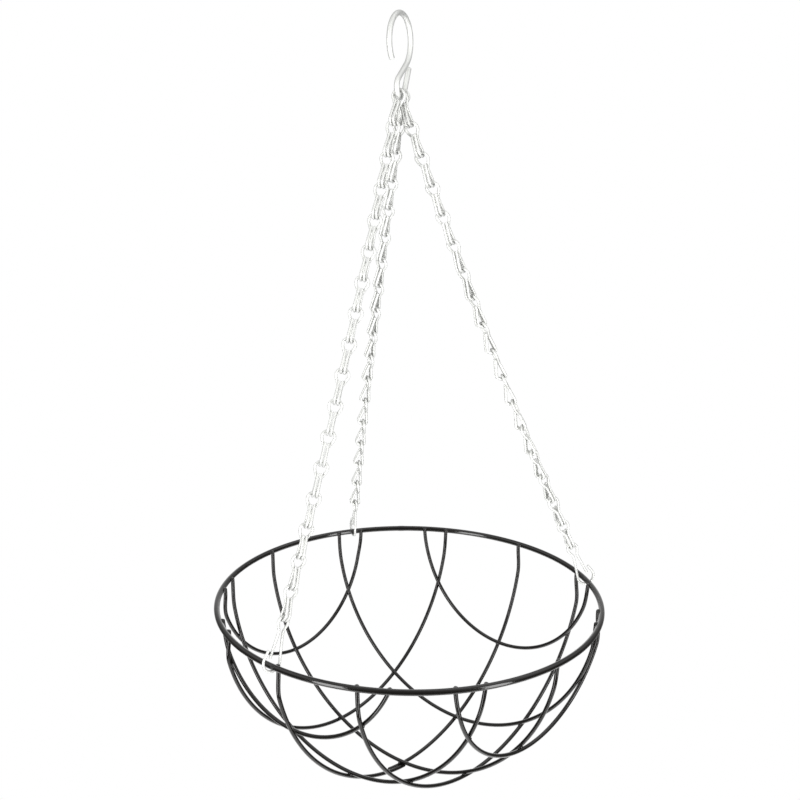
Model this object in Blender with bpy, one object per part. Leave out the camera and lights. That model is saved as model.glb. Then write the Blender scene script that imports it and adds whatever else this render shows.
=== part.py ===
"""Round-bottomed wire hanging basket: a ring rim, two crossing families of bowl wires, three
chains of bent wire links with a spring clip each, and an S-hook.

Metres, +Z up. The origin is the hook's seat, the inside of the top of its upper bend. Angles
round the basket are degrees from +X towards +Y.
"""

import math

import bmesh
import bpy
import numpy as np
from mathutils import Matrix, Vector

# Clearances between pieces that touch on the real basket: wires on the rim, wires that cross,
# links, and first links on the hook
SEAT_GAP = 0.0003
CROSSING_GAP = 0.0005
LINK_GAP = 0.0009
HOOK_GAP = 0.0011

# Bowl
RIM_DIAMETER = 0.305
RIM_WIRE = 0.0045
RIB_WIRE = 0.0031
BOWL_DEPTH = 0.1390
SEAT_RUN = 0.025
LAP_RUN = 0.026
WELD_SINK = 0.0008
RIB_END_RISE = 0.0014
POLE_LAP = 0.0135
POLE_LAP_SHARE = 0.454
WELD_NUGGET = 0.0022

# S-hook
HOOK_WIRE = 0.0040
HOOK_UPPER_BORE = 0.0336
HOOK_LOWER_BORE = 0.0104
HOOK_BENDS_APART = 0.0047
HOOK_LEG = 0.0174
HOOK_MOUTH_ANGLE = 217.0
HOOK_FLARE_ANGLE = 28.0
HOOK_TURN = 67.5

# Chain links, each bent from one wire
LINKS = 17
LINK_WIRE = 0.0020
LINK_EYE_WIDTH = 0.0112
LINK_LEGS_WIDTH = 0.0046
LINK_BEND_DEPTH = 0.0090
LINK_SEAT_RADIUS = 0.0026
LINK_CORNER_RADIUS = 0.0016
LINK_CORNER_RISE = 0.0012
LINK_NECK_DROP = 0.0123
LINK_END_DROP = 0.0088
LINK_END_LIFT = 0.0015

# Spring clips, each bent from one wire
CLIP_WIRE = 0.0020
CLIP_REACH = 0.0357
CLIP_EYE_WIDTH = 0.0103
CLIP_NECK_WIDTH = 0.0053
CLIP_NECK_DROP = 0.0110
CLIP_LOOP_WIDTH = 0.0156
CLIP_LOOP_OFFSET = 0.0012
CLIP_SHORT_LEG_END = 0.0300
CLIP_SHORT_LEG_OUT = 0.0033
CLIP_TIP_ANGLE = 15.0
CLIP_TIP_LENGTH = 0.0060

# Facets: corners round a wire, and points along each shape
RIM_SIDES = 8
RIM_POINTS = 56
WIRE_SIDES = 6
THIN_WIRE_SIDES = 5
HOOK_STEP = 19.0
EYE_STEPS = 3
SEAT_STEPS = 3
CORNER_STEPS = 2
CLIP_LOOP_STEPS = 9

# Bowl wires, in degrees: name, middle direction, half the angle between its two ends, and lean.
# The wires that face 50 degrees lie inside those that face 140 degrees wherever they cross.
INNER, OUTER = -1, 1
SMALL_LOOPS = (
    ("small_loop_right", 47.75, 37.0, -1.25, INNER),
    ("small_loop_back", 141.75, 34.25, -3.75, OUTER),
    ("small_loop_left", 231.75, 33.5, 8.75, INNER),
    ("small_loop_front", 317.25, 34.75, -2.25, OUTER),
)
MIDDLE_LOOPS = (
    ("middle_loop_right", 49.25, 66.25, -1.75, INNER),
    ("middle_loop_back", 141.5, 64.25, -0.75, OUTER),
    ("middle_loop_left", 229.5, 61.5, 2.5, INNER),
    ("middle_loop_front", 318.25, 61.75, -0.75, OUTER),
)
GREAT_ARC_ACROSS = (229.5, 86.25, 1.75)
GREAT_ARC_ALONG = (140.25, 91.25, -1.25)
SMALL_POINTS = 15
MIDDLE_POINTS = 21
GREAT_POINTS = 25

# Chains: name, direction of its clip on the rim, how far along the hook's lower bend its first
# eye hangs, from each link to the next, how far its middle bows and in which direction, and the
# directions that the open sides of links 1, 5, 9, 13 and 17 face.
CHAINS = (
    ("front", 230.8, -0.0045, 0.02220, 0.0060, 50.0, (245.0, 256.0, 264.0, 274.0, 300.0)),
    ("right", 15.5, -0.0004, 0.02260, 0.0040, 195.0, (247.0, 249.0, 205.0, 161.0, 116.0)),
    ("back", 110.0, 0.0038, 0.02235, 0.0025, 200.0, (247.0, 243.0, 224.0, 191.0, 192.0)),
)

# Where the hanging pieces balance: up from the rim towards the hook for the chains, and down
# into the bowl for its wires, as shares of the chains' height and the bowl's depth
# How far each clip is turned about its chain from square to the rim, in degrees
CLIP_TURNS = {"front": -14.0, "right": 0.0, "back": 0.0}
CHAIN_BALANCE_SHARE = 0.13
BOWL_BALANCE_SHARE = 0.20

BLACK_COAT = ("black_coated_wire", (0.030, 0.034, 0.034), 0.32, 0.0)
ZINC = ("zinc_wire", (0.72, 0.73, 0.74), 0.30, 1.0)

RIM_RADIUS = (RIM_DIAMETER - RIM_WIRE) / 2
HOOK_UPPER_RADIUS = (HOOK_UPPER_BORE + HOOK_WIRE) / 2
HOOK_LOWER_RADIUS = (HOOK_LOWER_BORE + HOOK_WIRE) / 2
HOOK_UPPER_CENTRE = -HOOK_UPPER_BORE / 2
HOOK_RISE = HOOK_UPPER_RADIUS + HOOK_BENDS_APART + HOOK_LOWER_RADIUS
HOOK_LOWER_CENTRE = HOOK_UPPER_CENTRE - HOOK_RISE
EYE_RISE = (HOOK_WIRE + LINK_WIRE) / 2 + HOOK_GAP


def direction(degrees):
    """The level unit vector at an angle round the basket."""
    return np.array([math.cos(math.radians(degrees)), math.sin(math.radians(degrees)), 0.0])


UP = np.array([0.0, 0.0, 1.0])
HOOK_ALONG = direction(HOOK_TURN)


def unit(vector):
    return vector / np.linalg.norm(vector)


def clear_scene():
    for obj in list(bpy.data.objects):
        bpy.data.objects.remove(obj, do_unlink=True)


def material(name, colour, roughness, metallic):
    made = bpy.data.materials.new(name)
    made.use_nodes = True
    shader = made.node_tree.nodes["Principled BSDF"]
    shader.inputs["Base Color"].default_value = (*colour, 1.0)
    shader.inputs["Roughness"].default_value = roughness
    shader.inputs["Metallic"].default_value = metallic
    return made


def new_object(name, data):
    obj = bpy.data.objects.new(name, data)
    bpy.context.scene.collection.objects.link(obj)
    return obj


def hide(obj):
    """Keeps a guide or a tool out of the model."""
    obj.hide_render = True
    obj.display_type = "WIRE"
    return obj


def section(wire, sides):
    """The closed outline that is swept to make a wire."""
    curve = bpy.data.curves.new("section", "CURVE")
    curve.dimensions = "2D"
    spline = curve.splines.new("POLY")
    spline.points.add(sides - 1)
    for corner, point in enumerate(spline.points):
        turn = -2 * math.pi * corner / sides
        point.co = (wire / 2 * math.cos(turn), wire / 2 * math.sin(turn), 0.0, 1.0)
    spline.use_cyclic_u = True
    return hide(new_object("section", curve))


def wire_mesh(name, points, wire, sides, closed=False):
    """A round wire swept along points, as a smooth-shaded mesh."""
    outline = section(wire, sides)
    curve = bpy.data.curves.new(name, "CURVE")
    curve.dimensions = "3D"
    curve.bevel_mode = "OBJECT"
    curve.bevel_object = outline
    curve.use_fill_caps = not closed
    spline = curve.splines.new("POLY")
    spline.points.add(len(points) - 1)
    for target, point in zip(spline.points, points):
        target.co = (*point, 1.0)
    spline.use_cyclic_u = closed
    guide = new_object(name + "_path", curve)
    bpy.context.view_layer.update()
    graph = bpy.context.evaluated_depsgraph_get()
    mesh = bpy.data.meshes.new_from_object(guide.evaluated_get(graph))
    mesh.name = name
    bpy.data.objects.remove(guide)
    bpy.data.objects.remove(outline)
    mesh.shade_smooth()
    mesh.set_sharp_from_angle(angle=math.radians(80))
    return mesh


def piece(name, mesh, finish, matrix, pivot=None):
    """Adds a piece with its origin where matrix puts it, parented to pivot."""
    obj = new_object(name, mesh)
    if not mesh.materials:
        mesh.materials.append(finish)
    obj.parent = pivot
    held_at = pivot.location if pivot else Vector((0.0, 0.0, 0.0))
    obj.matrix_basis = Matrix.Translation(-held_at) @ matrix
    return obj


def frame_at(origin, across, out, up):
    """The matrix whose X, Y and Z axes are the three directions given."""
    columns = np.eye(4)
    columns[:3, :4] = np.stack([across, out, up, origin], axis=1)
    return Matrix(columns.tolist())


def arc(centre, radius, first, last, steps):
    """Points on a circle in a plane, from one angle in degrees to another."""
    turns = np.radians(np.linspace(first, last, steps + 1))
    return [
        np.array([centre[0] + radius * math.cos(t), centre[1] + radius * math.sin(t)])
        for t in turns
    ]


def tangent_angle(outside, centre, radius, side):
    """The angle on a circle where the line from an outside point touches it."""
    away = np.array(outside) - np.array(centre)
    spread = math.acos(radius / np.linalg.norm(away))
    return math.degrees(math.atan2(away[1], away[0]) + side * spread)


# S-hook

def hook_centreline():
    """The hook's wire in its own plane: two bends joined by the line that touches both."""
    reach = math.degrees(math.acos((HOOK_UPPER_RADIUS + HOOK_LOWER_RADIUS) / HOOK_RISE))
    upper_steps = round((HOOK_MOUTH_ANGLE + 90 - reach) / HOOK_STEP)
    lower_steps = round((270 - HOOK_FLARE_ANGLE - reach) / HOOK_STEP)
    points = arc(
        (0.0, HOOK_UPPER_CENTRE), HOOK_UPPER_RADIUS, HOOK_MOUTH_ANGLE, reach - 90, upper_steps
    )
    points += arc(
        (0.0, HOOK_LOWER_CENTRE),
        HOOK_LOWER_RADIUS,
        90 + reach,
        360 - HOOK_FLARE_ANGLE,
        lower_steps,
    )
    flare = math.radians(HOOK_FLARE_ANGLE)
    points.append(points[-1] + HOOK_LEG * np.array([math.sin(flare), math.cos(flare)]))
    return points


def add_hook(finish):
    points = [(along, 0.0, height) for along, height in hook_centreline()]
    mesh = wire_mesh("s_hook", points, HOOK_WIRE, WIRE_SIDES)
    turn = Matrix.Rotation(math.radians(HOOK_TURN), 4, "Z")
    return piece("s_hook", mesh, finish, turn)


def hook_seat(offset):
    """The middle of the hook's wire where a first eye hangs."""
    drop = math.sqrt(HOOK_LOWER_RADIUS**2 - offset**2)
    return HOOK_ALONG * offset + UP * (HOOK_LOWER_CENTRE - drop)


# Where the basket hangs

def chord(pitch, bow):
    """From the top of a chain's first eye to the middle of the rim's wire, in a straight line."""
    length = LINKS * pitch + CLIP_REACH
    return length - 8 * bow**2 / (3 * length)


def rim_centre():
    """The point whose three places on the rim are each a chain's length from the hook."""
    a, b, c = (hook_seat(row[2]) - RIM_RADIUS * direction(row[1]) for row in CHAINS)
    from_a, from_b, from_c = (chord(row[3], row[4]) - EYE_RISE for row in CHAINS)
    first = unit(b - a)
    across = (c - a).dot(first)
    second = unit(c - a - first * across)
    apart = np.linalg.norm(b - a)
    beyond = (c - a).dot(second)
    x = (from_a**2 - from_b**2 + apart**2) / (2 * apart)
    y = (from_a**2 - from_c**2 + across**2 + beyond**2 - 2 * across * x) / (2 * beyond)
    normal = np.cross(first, second)
    down = normal * -np.sign(normal[2])
    return a + first * x + second * y + down * math.sqrt(from_a**2 - x**2 - y**2)


def swing_point():
    """The middle of the hook's wire, at the mean place of the three first eyes."""
    seats = [hook_seat(row[2]) for row in CHAINS]
    return UP * np.mean(seats, axis=0)[2]


def add_basket_pivot(centre):
    """The empty that holds every hanging piece, turned so that they balance under the hook."""
    swing = swing_point()
    balance = centre + (swing - centre) * CHAIN_BALANCE_SHARE
    balance = balance - UP * BOWL_DEPTH * BOWL_BALANCE_SHARE
    pivot = new_object("basket_pivot", None)
    pivot.location = Vector(swing)
    pivot.rotation_mode = "QUATERNION"
    pivot.rotation_quaternion = Vector(balance - swing).rotation_difference(Vector(-UP))
    return pivot


# Bowl wires

def eased(share):
    share = np.clip(share, 0.0, 1.0)
    return share * share * (3 - 2 * share)


def bowl_wire(wire, layer, count, inset, first=0.0, last=1.0):
    """A wire bent in one plane over the bowl, from rim to rim, or over part of that.

    It lies on the sphere through the rim and the pole, half a wire in or out of it to clear
    the wires that it crosses, and draws in below the rim to reach the rim's inner side.
    """
    middle, half, lean = wire
    radius = (RIM_RADIUS**2 + BOWL_DEPTH**2) / (2 * BOWL_DEPTH)
    centre = UP * (radius - BOWL_DEPTH)
    out = direction(middle)
    side = direction(middle + 90)
    down = -UP * math.cos(math.radians(lean)) + out * math.sin(math.radians(lean))
    normal = np.cross(side, down)
    from_centre = (RIM_RADIUS * math.cos(math.radians(half)) * out - centre).dot(normal)
    loop_centre = centre + normal * from_centre
    loop_radius = math.sqrt(radius**2 - from_centre**2)
    ends = [RIM_RADIUS * direction(middle + turn) - loop_centre for turn in (half, -half)]
    start, stop = (math.atan2(end.dot(side), end.dot(down)) for end in ends)
    points = []
    for share in np.linspace(first, last, count):
        turn = start + (stop - start) * share
        point = loop_centre + loop_radius * (math.cos(turn) * down + math.sin(turn) * side)
        depth = max(0.0, -point[2])
        outwards = unit(point - centre)
        level = unit(point * np.array([1.0, 1.0, 0.0]))
        point = point + outwards * layer * (RIB_WIRE + CROSSING_GAP) / 2 * eased(depth / LAP_RUN)
        points.append(point - level * inset * (1 - eased(depth / SEAT_RUN)))
    if first == 0.0:
        points.insert(0, points[0] + UP * RIB_END_RISE)
    if last == 1.0:
        points.append(points[-1] + UP * RIB_END_RISE)
    return points


def beside_rim(wire):
    """From the middle of the rim's wire to that of a wire beside it, clear of the rim's facets."""
    return (RIM_WIRE + wire) / 2 + SEAT_GAP + RIM_RADIUS * (1 - math.cos(math.pi / RIM_POINTS))


def welded_to_rim():
    return (RIM_WIRE + RIB_WIRE) / 2 - WELD_SINK


def unite(obj, tools):
    for tool in tools:
        hide(tool)
        joined = obj.modifiers.new(tool.name, "BOOLEAN")
        joined.operation = "UNION"
        joined.solver = "EXACT"
        joined.object = tool


def add_rim(finish, matrix, pivot):
    """The rim ring, with the four small loops welded to its inner side."""
    turns = np.linspace(0.0, 360.0, RIM_POINTS, endpoint=False)
    ring = [RIM_RADIUS * direction(turn) for turn in turns]
    mesh = wire_mesh("rim", ring, RIM_WIRE, RIM_SIDES, closed=True)
    rim = piece("rim_with_small_loops", mesh, finish, matrix, pivot)
    loops = []
    for name, middle, half, lean, layer in SMALL_LOOPS:
        points = bowl_wire((middle, half, lean), layer, SMALL_POINTS, welded_to_rim())
        loop = wire_mesh(name, points, RIB_WIRE, WIRE_SIDES)
        loops.append(piece(name, loop, finish, matrix, pivot))
    unite(rim, loops)


def nearest_approach(first, second):
    """The point half way between two wires where they pass closest."""
    fine = np.linspace(0.0, 1.0, 400)
    paths = []
    for points in (first, second):
        points = np.array(points)
        at = np.linspace(0.0, 1.0, len(points))
        paths.append(np.stack([np.interp(fine, at, points[:, i]) for i in range(3)], axis=1))
    apart = np.linalg.norm(paths[0][:, None] - paths[1][None], axis=2)
    i, j = np.unravel_index(apart.argmin(), apart.shape)
    return (paths[0][i] + paths[1][j]) / 2


def nugget_mesh():
    """The bead of a spot weld."""
    mesh = bpy.data.meshes.new("weld_nugget")
    shape = bmesh.new()
    bmesh.ops.create_icosphere(shape, subdivisions=1, radius=WELD_NUGGET / 2)
    shape.to_mesh(mesh)
    shape.free()
    return mesh


def add_middle_loops(finish, matrix, pivot):
    """The four middle loops, spot-welded to one another at the four places where they cross."""
    paths = []
    loops = []
    for name, middle, half, lean, layer in MIDDLE_LOOPS:
        points = bowl_wire((middle, half, lean), layer, MIDDLE_POINTS, beside_rim(RIB_WIRE))
        paths.append(points)
        mesh = wire_mesh(name, points, RIB_WIRE, WIRE_SIDES)
        loops.append(piece(name, mesh, finish, matrix, pivot))
    nuggets = []
    for number, points in enumerate(paths):
        at = nearest_approach(points, paths[(number + 1) % len(paths)])
        place = matrix @ Matrix.Translation(Vector(at))
        nuggets.append(piece(f"weld_nugget_{number + 1}", nugget_mesh(), finish, place, pivot))
    loops[0].name = "middle_loops"
    unite(loops[0], loops[1:] + nuggets)


def add_great_arcs(finish, matrix, pivot):
    """One unbroken wire through the pole, and one in two lengths that lap near it."""
    across = bowl_wire(GREAT_ARC_ACROSS, INNER, GREAT_POINTS, beside_rim(RIB_WIRE))
    mesh = wire_mesh("great_arc", across, RIB_WIRE, WIRE_SIDES)
    piece("great_arc", mesh, finish, matrix, pivot)
    middle, half, lean = GREAT_ARC_ALONG
    beside = math.degrees((RIB_WIRE + CROSSING_GAP) / 2 / RIM_RADIUS)
    lap = POLE_LAP / (2 * math.pi * BOWL_DEPTH)
    for name, shift, first, last in (
        ("lapped_arc_left", beside, 0.0, POLE_LAP_SHARE + lap),
        ("lapped_arc_right", -beside, POLE_LAP_SHARE - lap, 1.0),
    ):
        wire = (middle, half + shift, lean)
        points = bowl_wire(wire, OUTER, GREAT_POINTS // 2 + 2, beside_rim(RIB_WIRE), first, last)
        piece(name, wire_mesh(name, points, RIB_WIRE, WIRE_SIDES), finish, matrix, pivot)


# Chains

def teardrop(width, neck_width, neck_drop, wire):
    """An eye's right half, from the neck up to the top, which is at the origin."""
    radius = (width - wire) / 2
    neck = np.array([(neck_width - wire) / 2, -neck_drop])
    centre = (0.0, -radius)
    touch = tangent_angle(neck, centre, radius, 1)
    return [neck] + arc(centre, radius, touch, 90, EYE_STEPS)


def mirrored(points):
    """The points given, then their mirror images in reverse order, meeting at the top."""
    flip = np.array([-1.0] + [1.0] * (len(points[0]) - 1))
    return points + [point * flip for point in reversed(points[:-1])]


def link_centreline(pitch):
    """One link's wire, from free end to free end.

    Each end starts inside the eye, runs down the open side to a tight corner, crosses to the
    seat of the next link's eye, turns up round it and rises as a straight leg to the neck of
    this link's own eye.
    """
    eye_radius = (LINK_EYE_WIDTH - LINK_WIRE) / 2
    legs = (LINK_LEGS_WIDTH - LINK_WIRE) / 2
    eye_sag = eye_radius - math.sqrt(eye_radius**2 - legs**2)
    seat_drop = pitch + LINK_WIRE + LINK_GAP + eye_sag - LINK_SEAT_RADIUS
    tilt = math.atan2(LINK_SEAT_RADIUS, seat_drop)
    tilted = np.array([math.sin(tilt), math.cos(tilt)])

    def on_eye_plane(x, height, lift=0.0):
        return np.array(
            [x, height * tilted[0] + lift * tilted[1], height * tilted[1] - lift * tilted[0]]
        )

    end = on_eye_plane(legs, -LINK_END_DROP, LINK_END_LIFT)
    corner_out = LINK_BEND_DEPTH - LINK_WIRE - LINK_SEAT_RADIUS - LINK_CORNER_RADIUS
    corner = (corner_out, LINK_CORNER_RISE - seat_drop)
    start = tangent_angle(end[1:], corner, LINK_CORNER_RADIUS, -1)
    apart = math.hypot(corner_out, LINK_CORNER_RISE)
    closing = math.acos((LINK_SEAT_RADIUS - LINK_CORNER_RADIUS) / apart)
    between = math.degrees(math.atan2(LINK_CORNER_RISE, corner_out) - closing)
    stop = -180 - math.degrees(tilt)
    turned = arc(corner, LINK_CORNER_RADIUS, start, between, CORNER_STEPS)
    turned += arc((0.0, -seat_drop), LINK_SEAT_RADIUS, between, stop, SEAT_STEPS)
    bend = [np.array([legs, y, z]) for y, z in turned]
    eye = [
        on_eye_plane(x, height)
        for x, height in teardrop(LINK_EYE_WIDTH, LINK_LEGS_WIDTH, LINK_NECK_DROP, LINK_WIRE)
    ]
    return mirrored([end] + bend + eye)


def clip_centreline():
    """A clip's wire: long leg inside the rim and round it to a tip, eye, and short leg."""
    loop_radius = (CLIP_LOOP_WIDTH - CLIP_WIRE) / 2
    rim_to_wire = beside_rim(CLIP_WIRE)
    rise = math.sqrt((loop_radius - rim_to_wire) ** 2 - CLIP_LOOP_OFFSET**2)
    centre = (CLIP_LOOP_OFFSET, -CLIP_REACH + rise)
    eye = mirrored(teardrop(CLIP_EYE_WIDTH, CLIP_NECK_WIDTH, CLIP_NECK_DROP, CLIP_WIRE))
    touch = tangent_angle(eye[-1], centre, loop_radius, 1)
    loop = arc(centre, loop_radius, touch, 360 + CLIP_TIP_ANGLE, CLIP_LOOP_STEPS)
    lean = math.radians(CLIP_TIP_ANGLE)
    tip = loop[-1] + CLIP_TIP_LENGTH * np.array([-math.sin(lean), math.cos(lean)])
    short_end = np.array([CLIP_SHORT_LEG_OUT, -CLIP_SHORT_LEG_END])
    points = [short_end] + eye + loop + [tip]
    return [np.array([x, 0.0, z]) for x, z in points]


def chain_points(row, centre):
    """The middles of the tops of a chain's eyes, its clip's last, and of the rim's wire there."""
    _, at, offset, pitch, bow, towards, _ = row
    rim_seat = centre + RIM_RADIUS * direction(at)
    up = unit(hook_seat(offset) - rim_seat)
    aside = unit(direction(towards) - up * up.dot(direction(towards)))
    shares = np.linspace(0.0, 1.0, 200)[:, None]
    bowed = aside * bow * 4 * shares * (1 - shares)
    path = rim_seat + up * chord(pitch, bow) * (1 - shares) + bowed
    run = np.concatenate([[0.0], np.cumsum(np.linalg.norm(np.diff(path, axis=0), axis=1))])
    stops = np.append(np.arange(LINKS + 1) * pitch, run[-1])
    return np.stack([np.interp(stops, run, path[:, axis]) for axis in range(3)], axis=1)


def add_chain(row, centre, clip_mesh, finish, pivot):
    """A chain: each link's origin is the middle of its eye's top, and its Z runs up the chain."""
    name, at, _, pitch, _, _, facings = row
    points = chain_points(row, centre)
    link_mesh = wire_mesh(name + "_link", link_centreline(pitch), LINK_WIRE, THIN_WIRE_SIDES)
    measured_at = np.linspace(0, LINKS - 1, len(facings))
    for number in range(LINKS):
        up = unit(points[number] - points[number + 1])
        out = direction(np.interp(number, measured_at, facings))
        out = unit(out - up * out.dot(up))
        place = frame_at(points[number], np.cross(out, up), out, up)
        piece(f"{name}_chain_link_{number + 1:02d}", link_mesh, finish, place, pivot)
    up = unit(points[LINKS] - points[LINKS + 1])
    tangent = direction(at + 90 + CLIP_TURNS[name])
    place = frame_at(points[LINKS], np.cross(tangent, up), tangent, up)
    piece(name + "_clip", clip_mesh, finish, place, pivot)


def build():
    clear_scene()
    coated = material(*BLACK_COAT)
    zinc = material(*ZINC)
    add_hook(zinc)
    centre = rim_centre()
    pivot = add_basket_pivot(centre)
    bowl = Matrix.Translation(Vector(centre))
    add_rim(coated, bowl, pivot)
    add_middle_loops(coated, bowl, pivot)
    add_great_arcs(coated, bowl, pivot)
    clip_mesh = wire_mesh("clip", clip_centreline(), CLIP_WIRE, THIN_WIRE_SIDES)
    for row in CHAINS:
        add_chain(row, centre, clip_mesh, zinc, pivot)


build()
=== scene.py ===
"""Round-bottomed wire hanging basket: fine wires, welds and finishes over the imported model.

Metres, +Z up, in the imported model's frame: the origin is the inside of the top of the S-hook's
upper bend. Angles round the basket are degrees from +X towards +Y.
"""

import math
from collections import namedtuple

import bmesh
import bpy
import numpy as np
from bpy.props import FloatProperty, FloatVectorProperty, IntProperty, PointerProperty
from bpy.types import Operator, Panel, PropertyGroup
from mathutils import Matrix, Vector


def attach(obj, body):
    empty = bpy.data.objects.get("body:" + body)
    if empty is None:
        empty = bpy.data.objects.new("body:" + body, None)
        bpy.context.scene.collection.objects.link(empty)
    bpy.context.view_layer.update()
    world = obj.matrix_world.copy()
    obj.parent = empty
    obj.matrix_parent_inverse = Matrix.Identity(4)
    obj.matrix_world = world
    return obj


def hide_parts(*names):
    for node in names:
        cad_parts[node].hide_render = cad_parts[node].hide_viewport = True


bl_info = {
    "name": "Wire Hanging Basket",
    "version": (1, 0, 0),
    "blender": (4, 5, 0),
    "location": "View3D > Sidebar > Basket",
    "description": "Builds a coated wire hanging basket on plated chains, around its solid model",
    "category": "Add Mesh",
}

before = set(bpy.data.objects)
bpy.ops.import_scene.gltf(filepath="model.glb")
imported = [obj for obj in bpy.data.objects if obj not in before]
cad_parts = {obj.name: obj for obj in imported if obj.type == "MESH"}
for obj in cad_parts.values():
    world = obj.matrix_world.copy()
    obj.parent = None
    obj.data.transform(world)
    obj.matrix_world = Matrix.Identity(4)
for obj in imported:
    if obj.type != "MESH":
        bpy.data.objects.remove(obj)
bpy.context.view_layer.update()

UP = np.array([0.0, 0.0, 1.0])
# A vector times this is level
LEVEL = 1.0 - UP

# Sizes that place the pieces, as in the solid model
RIM_DIAMETER = 0.305
RIM_WIRE = 0.0045
RIB_WIRE = 0.0031
BOWL_DEPTH = 0.1390
SEAT_RUN = 0.025
LAP_RUN = 0.026
RIB_END_RISE = 0.0005
POLE_LAP = 0.0135
POLE_LAP_SHARE = 0.454

HOOK_WIRE = 0.0040
HOOK_UPPER_BORE = 0.0336
HOOK_LOWER_BORE = 0.0104
HOOK_BENDS_APART = 0.0047
HOOK_LEG = 0.0174
HOOK_MOUTH_ANGLE = 217.0
HOOK_FLARE_ANGLE = 28.0
HOOK_TURN = 67.5
HOOK_GAP = 0.0011

LINKS = 17
LINK_WIRE = 0.0020
LINK_GAP = 0.0009
LINK_EYE_WIDTH = 0.0112
LINK_LEGS_WIDTH = 0.0046
LINK_BEND_DEPTH = 0.0090
LINK_SEAT_RADIUS = 0.0026
LINK_CORNER_RADIUS = 0.0016
LINK_CORNER_RISE = 0.0012
LINK_NECK_DROP = 0.0123
LINK_END_DROP = 0.0088
LINK_END_LIFT = 0.0015

CLIP_WIRE = 0.0020
CLIP_REACH = 0.0357
CLIP_EYE_WIDTH = 0.0103
CLIP_NECK_WIDTH = 0.0053
CLIP_NECK_DROP = 0.0110
CLIP_LOOP_WIDTH = 0.0156
CLIP_LOOP_OFFSET = 0.0012
CLIP_SHORT_LEG_END = 0.0300
CLIP_SHORT_LEG_OUT = 0.0033
CLIP_TIP_ANGLE = 15.0
CLIP_TIP_LENGTH = 0.0060

# Bowl wires, in degrees: name, middle direction, half the angle between the ends, lean, layer
INNER, OUTER = -1, 1
SMALL_LOOPS = (
    ("small_loop_right", 47.75, 37.0, -1.25, INNER),
    ("small_loop_back", 141.75, 34.25, -3.75, OUTER),
    ("small_loop_left", 231.75, 33.5, 8.75, INNER),
    ("small_loop_front", 317.25, 34.75, -2.25, OUTER),
)
MIDDLE_LOOPS = (
    ("middle_loop_right", 49.25, 66.25, -1.75, INNER),
    ("middle_loop_back", 141.5, 64.25, -0.75, OUTER),
    ("middle_loop_left", 229.5, 61.5, 2.5, INNER),
    ("middle_loop_front", 318.25, 61.75, -0.75, OUTER),
)
GREAT_ARC_ACROSS = (229.5, 86.25, 1.75)
GREAT_ARC_ALONG = (140.25, 91.25, -1.25)

# at is the direction of a chain's clip on the rim, offset how far along the hook's lower bend its
# first eye hangs, pitch from each link to the next, bow how far its middle bows and towards in
# which direction, facings where the open sides of links 1, 5, 9, 13 and 17 face, and clip_turn
# how far its clip is turned about the chain from square to the rim
Chain = namedtuple("Chain", "name at offset pitch bow towards facings clip_turn")
CHAINS = (
    Chain("front", 230.8, -0.0045, 0.02220, 0.0060, 50.0, (245, 256, 264, 274, 300), -14.0),
    Chain("right", 15.5, -0.0004, 0.02260, 0.0040, 195.0, (247, 249, 205, 161, 116), 0.0),
    Chain("back", 110.0, 0.0038, 0.02235, 0.0025, 200.0, (247, 243, 224, 191, 192), 0.0),
)
CHAIN_BALANCE_SHARE = 0.13
BOWL_BALANCE_SHARE = 0.20

RIM_RADIUS = (RIM_DIAMETER - RIM_WIRE) / 2
# The sphere through the rim and the pole, measured from the rim's centre
BOWL_RADIUS = (RIM_RADIUS**2 + BOWL_DEPTH**2) / (2 * BOWL_DEPTH)
BOWL_CENTRE = UP * (BOWL_RADIUS - BOWL_DEPTH)
HOOK_UPPER_RADIUS = (HOOK_UPPER_BORE + HOOK_WIRE) / 2
HOOK_LOWER_RADIUS = (HOOK_LOWER_BORE + HOOK_WIRE) / 2
HOOK_UPPER_CENTRE = -HOOK_UPPER_BORE / 2
HOOK_RISE = HOOK_UPPER_RADIUS + HOOK_BENDS_APART + HOOK_LOWER_RADIUS
HOOK_LOWER_CENTRE = HOOK_UPPER_CENTRE - HOOK_RISE
EYE_RISE = (HOOK_WIRE + LINK_WIRE) / 2 + HOOK_GAP

# How far coated wires sink into one another, where the solid model has gaps, the weld beads'
# half sizes, and the collar where the rim's ends meet
WELD_SINK = 0.0010
CROSSING_SINK = 0.0003
RIM_BEAD = (0.0023, 0.0015, 0.0020)
CROSSING_BEAD = (0.0019, 0.0019, 0.0012)
SEAM_AT = 93.0
SEAM_RISE = 0.00018
SEAM_RUN = 0.0022

# Bowl wires cross where they are nearer than this many thicknesses, and the next crossing is
# this many away; their first and last points, at the rim, don't count
CROSSING_NEAR = 1.25
CROSSING_APART = 4
CROSSING_MARGIN = 4
# The axes of a bead at a crossing are taken from UP leant this much in this direction
BEAD_TURN = 30
BEAD_LEAN = 0.1

# How far from the rim's surface a clip's loop stands at rest
CLIP_CLEARANCE = 0.0004
# How far from where pieces touch their finish is rubbed
HOOK_RUB_REACH = 0.005
RUB_REACH = 0.004

# Fineness of the wires, and how their cut ends are rounded
RING_POINTS = 420
CHAIN_POINTS = 200
FEWEST_POINTS = 8
HOOK_SIDES = 28
RIM_SIDES = 24
CLIP_SIDES = 16
HOOK_END_RUN = 0.0007
RIB_END_RUN = 0.0013
THIN_END_RUN = 0.0003
END_SHARES = (0.0, 0.35, 0.65, 0.88)
BEAD_ROUND = 20
BEAD_RINGS = 12
PATH_STEP = 0.0006
LINK_BLUR = 0.0006
CLIP_BLUR = 0.0008
HOOK_BLUR = 0.0011
RIB_POINTS = 260
# A direction that no link's wire runs along
LINK_SIDEWAYS = LEVEL / math.sqrt(2)

BLACK_SLOT = "black_coated_wire"
ZINC_SLOT = "zinc_wire"
BASKET = "basket"


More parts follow.
